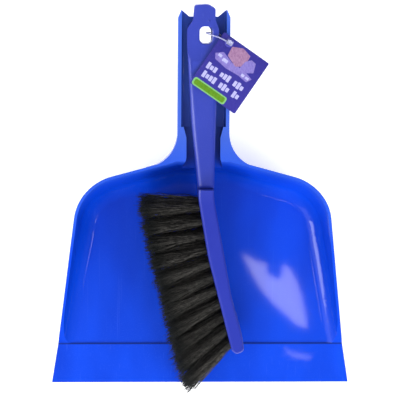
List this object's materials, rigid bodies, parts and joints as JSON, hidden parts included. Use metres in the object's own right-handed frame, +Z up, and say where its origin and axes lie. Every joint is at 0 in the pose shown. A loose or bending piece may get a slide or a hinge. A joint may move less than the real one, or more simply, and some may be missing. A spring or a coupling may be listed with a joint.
{
  "type": "dustpan and brush",
  "caption": "Wide-mouth plastic dustpan with a trough handle; a hand brush with dark tufted bristles lies in it, grip seated in the handle, a square hang tag on a loop.",
  "frame": {"origin": "on the surface the set lies on, under the middle of the pan and brush", "axes": "+X to the right seen from above with the handle away, +Y from the lip towards the handle's end, +Z up"},
  "size_m": [0.2802, 0.3576, 0.0765],
  "materials": {
    "pan_plastic": "satin gloss injection moulding",
    "brush_plastic": "satin gloss injection moulding",
    "bristle": "crimped filament",
    "staple": "drawn flat wire",
    "card": "printed coated card",
    "ring": "smooth",
    "filament": "clear nylon"
  },
  "bodies": {
    "pan": {"dustpan": "pan_plastic"},
    "brush": {"brush_back": "brush_plastic", "tuft_anchors": "staple", "tag_loop": "filament", "tag_lock": "ring", "tuft_A01": "bristle", "tuft_A02": "bristle", "tuft_A03": "bristle", "tuft_A04": "bristle", "tuft_A05": "bristle", "tuft_A06": "bristle", "tuft_A07": "bristle", "tuft_A08": "bristle", "tuft_A09": "bristle", "tuft_A10": "bristle", "tuft_A11": "bristle", "tuft_B01": "bristle", "tuft_B02": "bristle", "tuft_B03": "bristle", "tuft_B04": "bristle", "tuft_B05": "bristle", "tuft_B06": "bristle", "tuft_B07": "bristle", "tuft_B08": "bristle", "tuft_B09": "bristle", "tuft_B10": "bristle", "tuft_B11": "bristle", "tuft_C01": "bristle", "tuft_C02": "bristle", "tuft_C03": "bristle", "tuft_C04": "bristle", "tuft_C05": "bristle", "tuft_C06": "bristle", "tuft_C07": "bristle", "tuft_C08": "bristle", "tuft_C09": "bristle", "tuft_C10": "bristle", "tuft_C11": "bristle", "tuft_D01": "bristle", "tuft_D02": "bristle", "tuft_D03": "bristle", "tuft_D04": "bristle", "tuft_D05": "bristle", "tuft_D06": "bristle", "tuft_D07": "bristle", "tuft_D08": "bristle", "tuft_D09": "bristle", "tuft_D10": "bristle", "tuft_D11": "bristle"},
    "tag": {"hang_tag": "card", "tag_ring": "ring"}
  },
  "joints": [
    {"name": "brush_lift", "type": "slide", "parent": "pan", "child": "brush", "axis": [0, -0.1219, 0.9925], "range_m": [0, 0.12]},
    {"name": "tag_swivel", "type": "hinge", "parent": "brush", "child": "tag", "pos_m": [0.0225, 0.1431, 0.07232], "axis": [0.1392, -0.1207, 0.9829], "range_deg": [-30, 90]}
  ]
}
